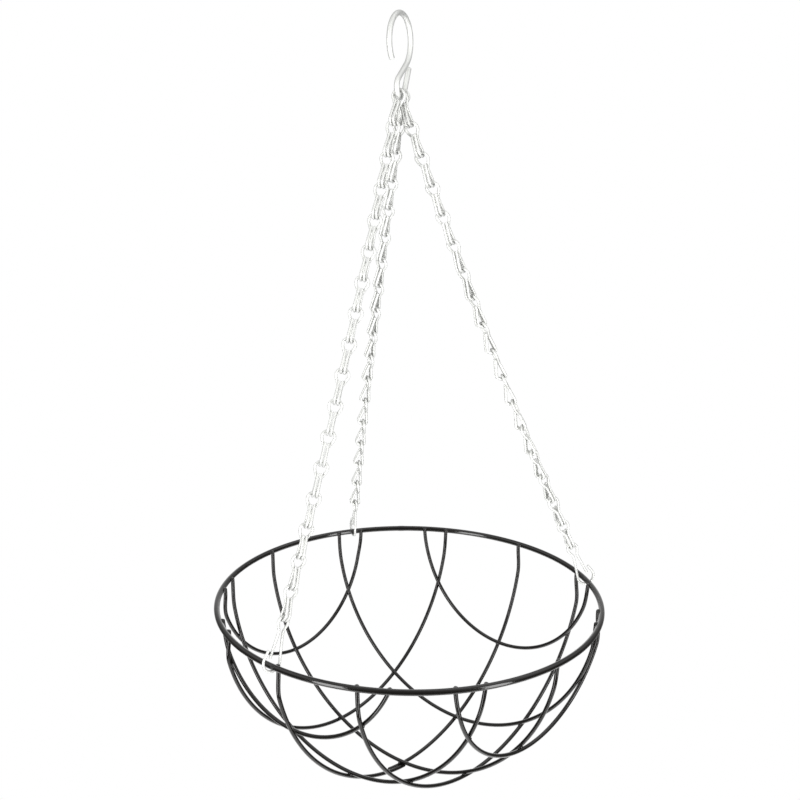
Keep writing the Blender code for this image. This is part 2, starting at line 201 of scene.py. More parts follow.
def direction(degrees):
    """The level unit vector at an angle round the basket."""
    turn = np.radians(degrees)
    return np.array([np.cos(turn), np.sin(turn), np.zeros_like(turn)])


def unit(vectors):
    """Vectors along the last axis, each brought to length one."""
    return vectors / np.linalg.norm(vectors, axis=-1, keepdims=True)


# Paths

def arc(centre, radius, first, last, step=3.0):
    """Points on a flat circle: centre + radius (cos t, sin t), t from one angle to another."""
    count = max(2, int(abs(last - first) / step) + 1)
    turn = np.radians(np.linspace(first, last, count))
    return np.stack([centre[0] + radius * np.cos(turn), centre[1] + radius * np.sin(turn)], 1)


def tangent_angle(outside, centre, radius, side):
    """The angle on a circle where the line from an outside point touches it."""
    away = np.array(outside) - np.array(centre)
    spread = math.acos(radius / np.linalg.norm(away))
    return math.degrees(math.atan2(away[1], away[0]) + side * spread)


def distances(points):
    """How far along a polyline each of its points lies."""
    steps = np.linalg.norm(np.diff(points, axis=0), axis=1)
    return np.concatenate([[0.0], np.cumsum(steps)])


def sampled(points, stops):
    """The points at these distances along a polyline."""
    run = distances(points)
    return np.stack([np.interp(stops, run, points[:, axis]) for axis in range(3)], axis=1)


def evenly(points, step):
    """A polyline's points again, at even distances along it."""
    length = distances(points)[-1]
    return sampled(points, np.linspace(0.0, length, max(FEWEST_POINTS, int(length / step))))


def eased_path(points, blur, step=PATH_STEP):
    """A polyline with its corners bent round as wire bends.

    The points are spread evenly and each becomes the mean of those near it, weighted by
    exp(-d^2 / 2 b^2) in the distance d along the path, with the ends carried on straight.
    """
    even = evenly(np.array(points), step)
    reach = max(1, int(3 * blur / step))
    before = even[0] + (even[0] - even[1]) * np.arange(reach, 0, -1)[:, None]
    after = even[-1] + (even[-1] - even[-2]) * np.arange(1, reach + 1)[:, None]
    carried = np.concatenate([before, even, after])
    weights = np.exp(-((np.arange(-reach, reach + 1) * step / blur) ** 2) / 2)
    weights /= weights.sum()
    return np.stack([np.convolve(carried[:, axis], weights, "valid") for axis in range(3)], 1)


def eased(share):
    """The smooth step 3 s^2 - 2 s^3, held to 0 below 0 and to 1 above 1."""
    share = np.clip(share, 0.0, 1.0)
    return share * share * (3 - 2 * share)


# Surfaces on a grid of two parameters

def cross_sections(path, closed, beside=None):
    """Two unit vectors square to a path at each point: b - t (t . b), made unit, and t x that.

    t is the path's direction. b is the direction given, which the path never runs along, or
    the normal of the plane that a flat path lies in.
    """
    if closed:
        tangents = unit(np.roll(path, -1, axis=0) - np.roll(path, 1, axis=0))
    else:
        tangents = unit(np.gradient(path, axis=0))
    if beside is None:
        beside = np.linalg.svd(tangents.T @ tangents)[2][-1]
    sides = unit(beside - tangents * (tangents @ beside)[:, None])
    return sides, np.cross(tangents, sides)


def wire_surface(path, radius, sides, closed=False, end_run=0.0, swell=None, beside=None):
    """A round wire: path(v) + r(v) (a(v) cos u + b(v) sin u), for u round it and v along it.

    r is the radius times 1 + swell(v). An open wire ends in a quarter round of length end_run,
    r falling by end_run (1 - sqrt(1 - s^2)) to a flat face, whose middle point closes it.
    Returns the grid of points and each row's distance along the path.
    """
    across, over = cross_sections(path, closed, beside)
    radii = np.full(len(path), radius) * (1 if swell is None else 1 + swell)
    run = distances(path)
    if not closed:
        shares = np.array(END_SHARES)
        falls = radius - end_run * (1 - np.sqrt(1 - shares**2))
        outward = unit(path[0] - path[1])
        inward = unit(path[-1] - path[-2])
        lifts = end_run * shares
        head = path[0] + outward * lifts[1:, None][::-1]
        tail = path[-1] + inward * lifts[1:, None]
        path = np.concatenate([head[:1], head, path, tail, tail[-1:]])
        radii = np.concatenate([[0.0], falls[1:][::-1], radii, falls[1:], [0.0]])
        pad = len(shares)
        across = np.concatenate([across[:1]] * pad + [across] + [across[-1:]] * pad)
        over = np.concatenate([over[:1]] * pad + [over] + [over[-1:]] * pad)
        run = np.concatenate([[run[0]] * pad, run, [run[-1]] * pad])
    turn = np.linspace(0.0, 2 * math.pi, sides, endpoint=False)
    ring = across[:, None] * np.cos(turn)[:, None] + over[:, None] * np.sin(turn)[:, None]
    return path[:, None] + ring * radii[:, None, None], run


def bead_surface(centre, axes, sizes):
    """A weld bead: centre + sum of axis * size * (cos v cos u, cos v sin u, sin v)."""
    turn = np.linspace(0.0, 2 * math.pi, BEAD_ROUND, endpoint=False)
    lift = np.linspace(-math.pi / 2, math.pi / 2, BEAD_RINGS)
    shape = np.stack(
        [
            np.cos(lift)[:, None] * np.cos(turn),
            np.cos(lift)[:, None] * np.sin(turn),
            np.sin(lift)[:, None] * np.ones_like(turn),
        ],
        axis=2,
    )
    return centre + (shape * np.array(sizes)) @ np.array(axes)


class Skin:
    """Collects grids of points into one mesh, with a map of round and along, and marks."""

    def __init__(self):
        self.points = []
        self.faces = []
        self.maps = []
        self.marks = []
        self.count = 0

    def add(self, grid, run=None, closed=False, mark=None):
        """Adds a grid whose columns go round; a grid that isn't closed ends in two points."""
        rows, sides = grid.shape[:2]
        index = np.arange(rows * sides).reshape(rows, sides) + self.count
        lower = index if closed else index[:-1]
        upper = np.roll(index, -1, axis=0) if closed else index[1:]
        quads = np.stack(
            [lower, np.roll(lower, -1, axis=1), np.roll(upper, -1, axis=1), upper], axis=-1
        )
        self.faces.append(quads.reshape(-1, 4))
        along = np.linspace(0.0, 1.0, rows) if run is None else run
        lower_along = along[: len(lower)]
        upper_along = np.append(along, along[-1] + along[1] - along[0])[1 : len(lower) + 1]
        around = np.arange(sides + 1) / sides
        shape = (len(lower), sides)
        corner_u = np.stack(
            [
                np.broadcast_to(around[:-1], shape),
                np.broadcast_to(around[1:], shape),
                np.broadcast_to(around[1:], shape),
                np.broadcast_to(around[:-1], shape),
            ],
            axis=-1,
        )
        corner_v = np.stack([lower_along, lower_along, upper_along, upper_along], axis=-1)
        corner_v = np.broadcast_to(corner_v[:, None], corner_u.shape)
        self.maps.append(np.stack([corner_u, corner_v], axis=-1).reshape(-1, 2))
        self.points.append(grid.reshape(-1, 3))
        marks = np.zeros(rows) if mark is None else mark
        self.marks.append(np.repeat(marks, sides))
        self.count += rows * sides

    def piece(self, name, finish, body, slot, *nodes):
        """Makes the mesh and its object, rides it on its body and hides the nodes it replaces."""
        points = np.concatenate(self.points)
        faces = np.concatenate(self.faces)
        mesh = bpy.data.meshes.new(name)
        mesh.vertices.add(len(points))
        mesh.vertices.foreach_set("co", points.astype(np.float32).ravel())
        mesh.loops.add(faces.size)
        mesh.loops.foreach_set("vertex_index", faces.astype(np.int32).ravel())
        mesh.polygons.add(len(faces))
        mesh.polygons.foreach_set("loop_start", np.arange(0, faces.size, 4, dtype=np.int32))
        mesh.polygons.foreach_set("use_smooth", np.ones(len(faces), bool))
        mesh.update(calc_edges=True)
        wrap = mesh.uv_layers.new(name="round_and_along")
        wrap.data.foreach_set("uv", np.concatenate(self.maps).astype(np.float32).ravel())
        mark = mesh.attributes.new("rubbed", "FLOAT", "POINT")
        mark.data.foreach_set("value", np.concatenate(self.marks).astype(np.float32))
        close_poles(mesh)
        mesh.validate()
        mesh.materials.append(finish)
        obj = bpy.data.objects.new(name, mesh)
        bpy.context.scene.collection.objects.link(obj)
        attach(obj, body)
        if nodes:
            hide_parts(*nodes)
        return obj


def close_poles(mesh):
    """Joins points that lie together, where a grid draws in to a pole or closes a wire's end."""
    shape = bmesh.new()
    shape.from_mesh(mesh)
    bmesh.ops.remove_doubles(shape, verts=shape.verts, dist=1e-7)
    shape.to_mesh(mesh)
    shape.free()


# Where the basket hangs

def hook_seat(offset):
    """The middle of the hook's wire where a first eye hangs."""
    drop = math.sqrt(HOOK_LOWER_RADIUS**2 - offset**2)
    return direction(HOOK_TURN) * offset + UP * (HOOK_LOWER_CENTRE - drop)


def chord(pitch, bow):
    """From the top of a chain's first eye to the middle of the rim's wire, in a straight line."""
    length = LINKS * pitch + CLIP_REACH
    return length - 8 * bow**2 / (3 * length)


def rim_centre():
    """The point whose three places on the rim are each a chain's length from the hook."""
    a, b, c = (hook_seat(chain.offset) - RIM_RADIUS * direction(chain.at) for chain in CHAINS)
    from_a, from_b, from_c = (chord(chain.pitch, chain.bow) - EYE_RISE for chain in CHAINS)
    first = unit(b - a)
    across = (c - a).dot(first)
    second = unit(c - a - first * across)
    apart = np.linalg.norm(b - a)
    beyond = (c - a).dot(second)
    x = (from_a**2 - from_b**2 + apart**2) / (2 * apart)
    y = (from_a**2 - from_c**2 + across**2 + beyond**2 - 2 * across * x) / (2 * beyond)
    normal = np.cross(first, second)
    down = normal * -np.sign(normal[2])
    return a + first * x + second * y + down * math.sqrt(from_a**2 - x**2 - y**2)


CENTRE = rim_centre()
SWING = UP * np.mean([hook_seat(chain.offset) for chain in CHAINS], axis=0)[2]


def hanging_turn():
    """The rotation about the hook that brings the basket's balance point right under it."""
    balance = CENTRE + (SWING - CENTRE) * CHAIN_BALANCE_SHARE
    balance = balance - UP * BOWL_DEPTH * BOWL_BALANCE_SHARE
    turn = Vector(balance - SWING).rotation_difference(Vector(-UP))
    return np.array(turn.to_matrix())


HANGING = hanging_turn()


def hung(points):
    """Points from the level basket's frame to where they hang."""
    return (points - SWING) @ HANGING.T + SWING


def hung_from_rim(points):
    """Points measured from the rim's centre, in the level basket's frame, to where they hang."""
    return hung(points + CENTRE)


def placed(points, origin, across, out, up):
    """Points from a piece's own axes to the level basket's frame, then to where they hang."""
    return hung(points @ np.stack([across, out, up]) + origin)


# Bowl wires

def bowl_wire(wire, layer, first=0.0, last=1.0, count=RIB_POINTS, beside=0.0):
    """A wire bent in one plane over the bowl, from rim to rim, or over part of that.

    It is a circle cut from the sphere through the rim and the pole, moved half a wire in or
    out where it crosses others, and drawn in below the rim to reach the rim's inner side.
    """
    middle, half, lean = wire
    out = direction(middle)
    side = direction(middle + 90)
    lean = math.radians(lean)
    down = -UP * math.cos(lean) + out * math.sin(lean)
    normal = np.cross(side, down)
    half = half + math.degrees(beside / RIM_RADIUS)
    from_centre = (RIM_RADIUS * math.cos(math.radians(half)) * out - BOWL_CENTRE).dot(normal)
    loop_centre = BOWL_CENTRE + normal * from_centre
    loop_radius = math.sqrt(BOWL_RADIUS**2 - from_centre**2)
    ends = [RIM_RADIUS * direction(middle + turn) - loop_centre for turn in (half, -half)]
    start, stop = (math.atan2(end.dot(side), end.dot(down)) for end in ends)
    turn = (start + (stop - start) * np.linspace(first, last, count))[:, None]
    points = loop_centre + loop_radius * (np.cos(turn) * down + np.sin(turn) * side)
    depth = np.maximum(0.0, -points[:, 2:])
    outwards = unit(points - BOWL_CENTRE)
    level = unit(points * LEVEL)
    points = points + outwards * layer * (RIB_WIRE - CROSSING_SINK) / 2 * eased(depth / LAP_RUN)
    inset = (RIM_WIRE + RIB_WIRE) / 2 - WELD_SINK
    points = points - level * inset * (1 - eased(depth / SEAT_RUN))
    if first == 0.0:
        points = np.concatenate([points[:1] + UP * RIB_END_RISE, points])
    if last == 1.0:
        points = np.concatenate([points, points[-1:] + UP * RIB_END_RISE])
    return points


def bowl_wires():
    """Every bowl wire by name, as points measured from the rim's centre."""
    paths = {
        name: bowl_wire((middle, half, lean), layer)
        for name, middle, half, lean, layer in SMALL_LOOPS + MIDDLE_LOOPS
    }
    paths["great_arc"] = bowl_wire(GREAT_ARC_ACROSS, INNER)
    lap = POLE_LAP / (2 * math.pi * BOWL_DEPTH)
    half_wire = RIB_WIRE / 2
    paths["lapped_arc_left"] = bowl_wire(
        GREAT_ARC_ALONG, OUTER, 0.0, POLE_LAP_SHARE + lap, RIB_POINTS // 2, half_wire
    )
    paths["lapped_arc_right"] = bowl_wire(
        GREAT_ARC_ALONG, OUTER, POLE_LAP_SHARE - lap, 1.0, RIB_POINTS // 2, -half_wire
    )
    return paths


BOWL_WIRES = bowl_wires()


def crossings(paths):
    """Where pairs of bowl wires pass closest, if nearer than their thickness and a little."""
    names = sorted(paths)
    found = []
    for i, first in enumerate(names):
        for second in names[i + 1 :]:
            one = paths[first][CROSSING_MARGIN:-CROSSING_MARGIN]
            two = paths[second][CROSSING_MARGIN:-CROSSING_MARGIN]
            apart = np.linalg.norm(one[:, None] - two[None], axis=2)
            nearest = apart.min(axis=1)
            low = (nearest < RIB_WIRE * CROSSING_NEAR) & (nearest <= np.roll(nearest, 1))
            low &= nearest < np.roll(nearest, -1)
            last = None
            for row in np.flatnonzero(low):
                column = apart[row].argmin()
                at = (one[row] + two[column]) / 2
                if last is None or np.linalg.norm(at - last) > CROSSING_APART * RIB_WIRE:
                    found.append(at)
                last = at
    return found


# Chain links, clips and hook

def teardrop(width, neck_width, neck_drop, wire):
    """An eye's right half, from the neck up to the top, which is at the origin."""
    radius = (width - wire) / 2
    neck = np.array([[(neck_width - wire) / 2, -neck_drop]])
    centre = (0.0, -radius)
    touch = tangent_angle(neck[0], centre, radius, 1)
    return np.concatenate([neck, arc(centre, radius, touch, 90)])


def mirrored(points):
    """The points given, then their mirror images in reverse order, meeting at the top."""
    flip = np.ones(points.shape[1])
    flip[0] = -1.0
    return np.concatenate([points, points[-2::-1] * flip])


def link_path(pitch):
    """One link's wire, from free end to free end.

    Each end starts inside the eye, runs down the open side to a tight corner, crosses to the
    seat of the next link's eye, turns up round it and rises as a straight leg to the neck of
    this link's own eye.
    """
    eye_radius = (LINK_EYE_WIDTH - LINK_WIRE) / 2
    legs = (LINK_LEGS_WIDTH - LINK_WIRE) / 2
    eye_sag = eye_radius - math.sqrt(eye_radius**2 - legs**2)
    seat_drop = pitch + LINK_WIRE + LINK_GAP + eye_sag - LINK_SEAT_RADIUS
    tilt = math.atan2(LINK_SEAT_RADIUS, seat_drop)
    tilted = np.array([[0.0, math.sin(tilt), math.cos(tilt)]])
    lifted = np.array([[0.0, math.cos(tilt), -math.sin(tilt)]])
    end = np.array([[legs, 0.0, 0.0]]) - LINK_END_DROP * tilted + LINK_END_LIFT * lifted
    corner_out = LINK_BEND_DEPTH - LINK_WIRE - LINK_SEAT_RADIUS - LINK_CORNER_RADIUS
    corner = (corner_out, LINK_CORNER_RISE - seat_drop)
    start = tangent_angle(end[0, 1:], corner, LINK_CORNER_RADIUS, -1)
    apart = math.hypot(corner_out, LINK_CORNER_RISE)
    closing = math.acos((LINK_SEAT_RADIUS - LINK_CORNER_RADIUS) / apart)
    between = math.degrees(math.atan2(LINK_CORNER_RISE, corner_out) - closing)
    turned = arc(corner, LINK_CORNER_RADIUS, start, between)
    seat = arc((0.0, -seat_drop), LINK_SEAT_RADIUS, between, -180 - math.degrees(tilt))
    bend = np.concatenate([turned, seat])
    bend = np.concatenate([np.full((len(bend), 1), legs), bend], axis=1)
    eye = teardrop(LINK_EYE_WIDTH, LINK_LEGS_WIDTH, LINK_NECK_DROP, LINK_WIRE)
    eye = np.array([[1.0, 0.0, 0.0]]) * eye[:, :1] + tilted * eye[:, 1:]
    return eased_path(mirrored(np.concatenate([end, bend, eye])), LINK_BLUR)


def clip_path():
    """A clip's wire: short leg, eye, long leg inside the rim, loop round the rim, and tip."""
    loop_radius = (CLIP_LOOP_WIDTH - CLIP_WIRE) / 2
    rim_to_wire = (RIM_WIRE + CLIP_WIRE) / 2 + CLIP_CLEARANCE
    rise = math.sqrt((loop_radius - rim_to_wire) ** 2 - CLIP_LOOP_OFFSET**2)
    centre = (CLIP_LOOP_OFFSET, -CLIP_REACH + rise)
    eye = mirrored(teardrop(CLIP_EYE_WIDTH, CLIP_NECK_WIDTH, CLIP_NECK_DROP, CLIP_WIRE))
    touch = tangent_angle(eye[-1], centre, loop_radius, 1)
    loop = arc(centre, loop_radius, touch, 360 + CLIP_TIP_ANGLE)
    lean = math.radians(CLIP_TIP_ANGLE)
    tip = loop[-1:] + CLIP_TIP_LENGTH * np.array([[-math.sin(lean), math.cos(lean)]])
    short_end = np.array([[CLIP_SHORT_LEG_OUT, -CLIP_SHORT_LEG_END]])
    flat = np.concatenate([short_end, eye, loop, tip])
    path = np.stack([flat[:, 0], np.zeros(len(flat)), flat[:, 1]], axis=1)
    return eased_path(path, CLIP_BLUR)


def hook_path():
    """The hook's wire: two bends joined by the line that touches both, and a flared leg."""
    reach = math.degrees(math.acos((HOOK_UPPER_RADIUS + HOOK_LOWER_RADIUS) / HOOK_RISE))
    upper = arc((0.0, HOOK_UPPER_CENTRE), HOOK_UPPER_RADIUS, HOOK_MOUTH_ANGLE, reach - 90)
    lower = arc(
        (0.0, HOOK_LOWER_CENTRE), HOOK_LOWER_RADIUS, 90 + reach, 360 - HOOK_FLARE_ANGLE
    )
    flare = math.radians(HOOK_FLARE_ANGLE)
    leg = lower[-1:] + HOOK_LEG * np.array([[math.sin(flare), math.cos(flare)]])
    flat = np.concatenate([upper, lower, leg])
    path = flat[:, :1] * direction(HOOK_TURN) + flat[:, 1:] * UP
    return eased_path(path, HOOK_BLUR)


def chain_points(chain):
    """The middles of the tops of a chain's eyes, its clip's last, and of the rim's wire there."""
    rim_seat = CENTRE + RIM_RADIUS * direction(chain.at)
    up = unit(hook_seat(chain.offset) - rim_seat)
    towards = direction(chain.towards)
    aside = unit(towards - up * up.dot(towards))
    shares = np.linspace(0.0, 1.0, CHAIN_POINTS)[:, None]
    bowed = aside * chain.bow * 4 * shares * (1 - shares)
    path = rim_seat + up * chord(chain.pitch, chain.bow) * (1 - shares) + bowed
    stops = np.append(np.arange(LINKS + 1) * chain.pitch, distances(path)[-1])
    return sampled(path, stops)


def near(path, targets, reach):
    """How near each point of a path is to any of the targets: exp(-(d / reach)^2)."""
    apart = np.linalg.norm(path[:, None] - np.array(targets)[None], axis=2).min(axis=1)
    return np.exp(-((apart / reach) ** 2))


def padded_mark(mark, grid):
    """A mark for each row of an open wire's grid, its end rows taking the end values."""
    extra = (grid.shape[0] - len(mark)) // 2
    return np.concatenate([[mark[0]] * extra, mark, [mark[-1]] * extra])


# Finishes

class Value:
    """A socket that arithmetic works on: each sign adds a Math node to its material."""

    def __init__(self, tree, socket):
        self.tree = tree
        self.socket = socket

    def math(self, operation, *others, clamp=False):
        node = self.tree.nodes.new("ShaderNodeMath")
        node.operation = operation
        node.use_clamp = clamp
        for slot, item in zip(node.inputs, (self, *others)):
            if isinstance(item, Value):
                self.tree.links.new(item.socket, slot)
            else:
                slot.default_value = item
        return Value(self.tree, node.outputs[0])

    def flipped(self, operation, other):
        node = self.tree.nodes.new("ShaderNodeMath")
        node.operation = operation
        node.inputs[0].default_value = other
        self.tree.links.new(self.socket, node.inputs[1])
        return Value(self.tree, node.outputs[0])

    def __add__(self, other):
        return self.math("ADD", other)

    __radd__ = __add__

    def __mul__(self, other):
        return self.math("MULTIPLY", other)

    __rmul__ = __mul__

    def __sub__(self, other):
        return self.math("SUBTRACT", other)

    def __rsub__(self, other):
        return self.flipped("SUBTRACT", other)

    def __pow__(self, other):
        return self.math("POWER", other)

    def held(self):
        """The value kept between 0 and 1."""
        return self.math("ADD", 0.0, clamp=True)


class Finish:
    """A material's nodes, each made from its type, its settings and its sockets' values."""

    def __init__(self, name):
        self.material = bpy.data.materials.new(name)
        self.material.use_nodes = True
        self.tree = self.material.node_tree
        self.tree.nodes.clear()

    def node(self, kind, settings=None, sockets=None):
        made = self.tree.nodes.new(kind)
        for name, setting in (settings or {}).items():
            setattr(made, name, setting)
        for key, value in (sockets or {}).items():
            socket = made.inputs[key]
            if isinstance(value, Value):
                self.tree.links.new(value.socket, socket)
            else:
                socket.default_value = value
        return made

    def value(self, made, output=0):
        return Value(self.tree, made.outputs[output])

    def noise(self, where, scale, detail=2.0, roughness=0.5):
        """Smooth noise from 0 to 1."""
        sockets = {"Vector": where, "Scale": scale, "Detail": detail, "Roughness": roughness}
        return self.value(self.node("ShaderNodeTexNoise", None, sockets))

    def between(self, low, high, value):
        """0 where value is at low, 1 at high, straight between and held at both."""
        settings = {"clamp": True}
        sockets = {"Value": value, "From Min": low, "From Max": high}
        return self.value(self.node("ShaderNodeMapRange", settings, sockets))

    def mixed(self, share, first, second):
        """One colour at 0, the other at 1."""
        sockets = {0: share, 6: first, 7: second}
        return self.value(self.node("ShaderNodeMix", {"data_type": "RGBA"}, sockets), 2)

    def object_place(self):
        return self.value(self.node("ShaderNodeTexCoord"), "Object")

    def wrapped(self, around, along):
        """The place on a wire: how often a pattern repeats round it and per metre along it."""
        source = self.value(self.node("ShaderNodeUVMap", {"uv_map": "round_and_along"}))
        sockets = {"Vector": source, "Scale": (around, along, 1.0)}
        return self.value(self.node("ShaderNodeMapping", {"vector_type": "POINT"}, sockets))

    def mark(self):
        return self.value(self.node("ShaderNodeAttribute", {"attribute_name": "rubbed"}), "Fac")

    def bump(self, height, strength, distance):
        sockets = {"Height": height, "Strength": strength, "Distance": distance}
        return self.value(self.node("ShaderNodeBump", None, sockets))

    def finish(self, **sockets):
        """Ends the material in one Principled shader with these inputs."""
        named = {name.replace("_", " ").title(): value for name, value in sockets.items()}
        if "Ior" in named:
            named["IOR"] = named.pop("Ior")
        shader = self.node("ShaderNodeBsdfPrincipled", None, named)
        out = self.node("ShaderNodeOutputMaterial")
        self.tree.links.new(shader.outputs[0], out.inputs[0])
        return self.material


def colour(rgb):
    return (*rgb, 1.0)


def shaded(rgb, factor):
    return tuple(channel * factor for channel in rgb)


# How much lighter the coating's faded patches are, and how much darker the zinc's grey crystals
COAT_FADING = 2.0
ZINC_GREYING = 0.82
DUST_COLOUR = (0.30, 0.31, 0.30)
SCUFF_COLOUR = (0.10, 0.103, 0.103)
DULL_ZINC_COLOUR = (0.72, 0.73, 0.705)
# Painted shade: the zinc's colour where its surface turns away from the eye, a painted reflection
# of a darker room
PAINTED_EDGE_SHADE_COLOUR = (0.36, 0.365, 0.36)
FLOOR_COLOURS = (0.91, 0.91, 0.91), (0.93, 0.93, 0.93)


def coated_finish(looks):
    """Black plastic coating: glossy and faintly lumpy, with dust, and scuffed by the clips."""
    coat = Finish("black coating")
    place = coat.object_place()
    patches = coat.noise(place, scale=45.0, detail=3.0)
    peel = coat.noise(place, scale=900.0, detail=1.0)
    lumps = coat.noise(place, scale=260.0, detail=2.0)
    specks = coat.noise(place, scale=1500.0, detail=3.0, roughness=0.65)
    dust = coat.between(0.52, 0.80, specks)
    scratches = coat.noise(place, scale=1200.0, detail=3.0)
    scuffed = coat.mark() * coat.between(0.35, 0.65, scratches)
    deep = colour(looks.coat_colour)
    faded = colour(shaded(looks.coat_colour, COAT_FADING))
    tint = coat.mixed(patches, deep, faded)
    tint = coat.mixed(dust * 0.03, tint, colour(DUST_COLOUR))
    tint = coat.mixed(scuffed * 0.3, tint, colour(SCUFF_COLOUR))
    rough = looks.coat_roughness + 0.08 * (patches - 0.5) + 0.06 * dust + 0.25 * scuffed
    normal = coat.bump(lumps * 0.7 + peel * 0.3, strength=0.22, distance=0.00025)
    return coat.finish(
        base_color=tint,
        roughness=rough.held(),
        metallic=0.0,
        ior=1.38,
        coat_weight=0.35,
        coat_roughness=0.07,
        normal=normal,
    )


def zinc_finish(looks):
    """Bright zinc plating: crystals, dull bloom, streaks along the wire and polished rubs.

    It is painted darker where the surface turns away from the eye: painted shade standing in for
    the darker room that a mirror-like wire reflects in a white studio.
    """
    zinc = Finish("zinc plating")
    place = zinc.object_place()
    sockets = {"Vector": place, "Scale": 850.0}
    crystals = zinc.value(zinc.node("ShaderNodeTexVoronoi", {"feature": "F1"}, sockets), "Color")
    crystal_tone = zinc.value(zinc.node("ShaderNodeSeparateColor", None, {0: crystals}))
    clouds = zinc.noise(place, scale=140.0, detail=4.0, roughness=0.6)
    bloom = zinc.between(0.42, 0.72, clouds)
    streaks = zinc.noise(zinc.wrapped(around=9.0, along=30.0), scale=4.0, detail=3.0)
    rubbed = zinc.mark()
    dull = (bloom * (1 - rubbed)).held()
    bright = colour(looks.zinc_colour)
    grey = colour(shaded(looks.zinc_colour, ZINC_GREYING))
    tint = zinc.mixed(crystal_tone * 0.30, bright, grey)
    tint = zinc.mixed(dull * 0.45, tint, colour(DULL_ZINC_COLOUR))
    # Painted reflection: the colour darkens towards the edges, where the surface turns away from
    # the eye
    facing = zinc.value(zinc.node("ShaderNodeLayerWeight", None, {"Blend": 0.5}), "Facing")
    painted_edge_shade = zinc.between(0.12, 0.62, facing)
    tint = zinc.mixed(painted_edge_shade * 0.70, tint, colour(PAINTED_EDGE_SHADE_COLOUR))
    rough = looks.zinc_roughness + 0.10 * (streaks - 0.5) + 0.16 * dull - 0.08 * rubbed
    normal = zinc.bump(streaks * 0.5 + crystal_tone * 0.1, strength=0.10, distance=0.00010)
    return zinc.finish(
        base_color=tint,
        roughness=rough.held(),
        metallic=(0.24 - 0.10 * dull).held(),
        normal=normal,
    )


def finish_named(name, make, looks):
    return bpy.data.materials.get(name) or make(looks)


def black(context):
    return finish_named("black coating", coated_finish, context.scene.basket_looks)


def zinc(context):
    return finish_named("zinc plating", zinc_finish, context.scene.basket_looks)


# What a user would change

class BasketSizes(PropertyGroup):
    """Wire thicknesses and how finely their surfaces are drawn."""

    rim_wire: FloatProperty(
        name="Rim wire",
        description="Rim wire across its coating",
        default=RIM_WIRE,
        unit="LENGTH",
    )
    rib_wire: FloatProperty(
        name="Bowl wire",
        description="Bowl wire across its coating",
        default=RIB_WIRE,
        unit="LENGTH",
    )
    link_wire: FloatProperty(
        name="Link wire", description="Chain link wire", default=LINK_WIRE, unit="LENGTH"
    )
    clip_wire: FloatProperty(
        name="Clip wire", description="Spring clip wire", default=CLIP_WIRE, unit="LENGTH"
    )
    hook_wire: FloatProperty(
        name="Hook wire", description="S-hook wire", default=HOOK_WIRE, unit="LENGTH"
    )
    sides: IntProperty(
        name="Sides", description="Facets round the bowl's wires", default=18, min=8, max=48
    )
    chain_sides: IntProperty(
        name="Chain sides", description="Facets round the links' wire", default=12, min=6, max=32
    )


class BasketLooks(PropertyGroup):
    """Colours and gloss of the two finishes."""

    coat_colour: FloatVectorProperty(
        name="Coating",
        description="Colour of the plastic coating",
        default=(0.0030, 0.0025, 0.0020),
        subtype="COLOR",
        size=3,
        min=0.0,
        max=1.0,
    )
    coat_roughness: FloatProperty(
        name="Coating roughness", description="Gloss of the coating", default=0.12, subtype="FACTOR"
    )
    zinc_colour: FloatVectorProperty(
        name="Zinc",
        description="Colour of the bright zinc",
        default=(0.855, 0.86, 0.835),
        subtype="COLOR",
        size=3,
        min=0.0,
        max=1.0,
    )
    zinc_roughness: FloatProperty(
        name="Zinc roughness", description="Gloss of the plating", default=0.42, subtype="FACTOR"
    )


# Operators

class BASKET_OT_hook(Operator):
    """Add the S-hook, its cut ends slightly rounded"""

    bl_idname = "basket.hook"
    bl_label = "S-Hook"

    def execute(self, context):
        wire = context.scene.basket_sizes.hook_wire
        path = hook_path()
        grid, run = wire_surface(path, wire / 2, HOOK_SIDES, end_run=HOOK_END_RUN)
        rubbed = [np.zeros(3)] + [hook_seat(chain.offset) for chain in CHAINS]
        skin = Skin()
        skin.add(grid, run, mark=padded_mark(near(path, rubbed, HOOK_RUB_REACH), grid))
        skin.piece("s_hook_wire", zinc(context), "hook", ZINC_SLOT, "s_hook")
        return {"FINISHED"}


class BASKET_OT_rim(Operator):
    """Add the rim ring, with the low collar where its ends are welded"""

    bl_idname = "basket.rim"
    bl_label = "Rim"

    def execute(self, context):
        wire = context.scene.basket_sizes.rim_wire
        turns = np.linspace(0.0, 360.0, RING_POINTS, endpoint=False)
        path = hung_from_rim(RIM_RADIUS * direction(turns).T)
        from_seam = np.radians(turns - SEAM_AT) * RIM_RADIUS
        swell = 2 * SEAM_RISE / wire * np.exp(-((from_seam / SEAM_RUN) ** 2))
        grid, run = wire_surface(path, wire / 2, RIM_SIDES, closed=True, swell=swell)
        clips = [hung_from_rim(RIM_RADIUS * direction(chain.at)) for chain in CHAINS]
        skin = Skin()
        skin.add(grid, run, closed=True, mark=near(path, clips, RUB_REACH))
        skin.piece("rim_ring", black(context), BASKET, BLACK_SLOT, "rim_with_small_loops")
        return {"FINISHED"}


def add_bowl_wire(context, name, *nodes):
    """Adds a bowl wire as a piece of its own, in place of these nodes."""
    sizes = context.scene.basket_sizes
    path = hung_from_rim(BOWL_WIRES[name])
    grid, run = wire_surface(path, sizes.rib_wire / 2, sizes.sides, end_run=RIB_END_RUN)
    skin = Skin()
    skin.add(grid, run)
    skin.piece(name + "_wire", black(context), BASKET, BLACK_SLOT, *nodes)


class BASKET_OT_small_loops(Operator):
    """Add the four small loops under the rim"""

    bl_idname = "basket.small_loops"
    bl_label = "Small Loops"

    def execute(self, context):
        for name, *_ in SMALL_LOOPS:
            add_bowl_wire(context, name)
        return {"FINISHED"}


class BASKET_OT_middle_loops(Operator):
    """Add the four middle loops"""

    bl_idname = "basket.middle_loops"
    bl_label = "Middle Loops"

    def execute(self, context):
        for number, (name, *_) in enumerate(MIDDLE_LOOPS):
            add_bowl_wire(context, name, *(["middle_loops"] if number == 0 else []))
        return {"FINISHED"}


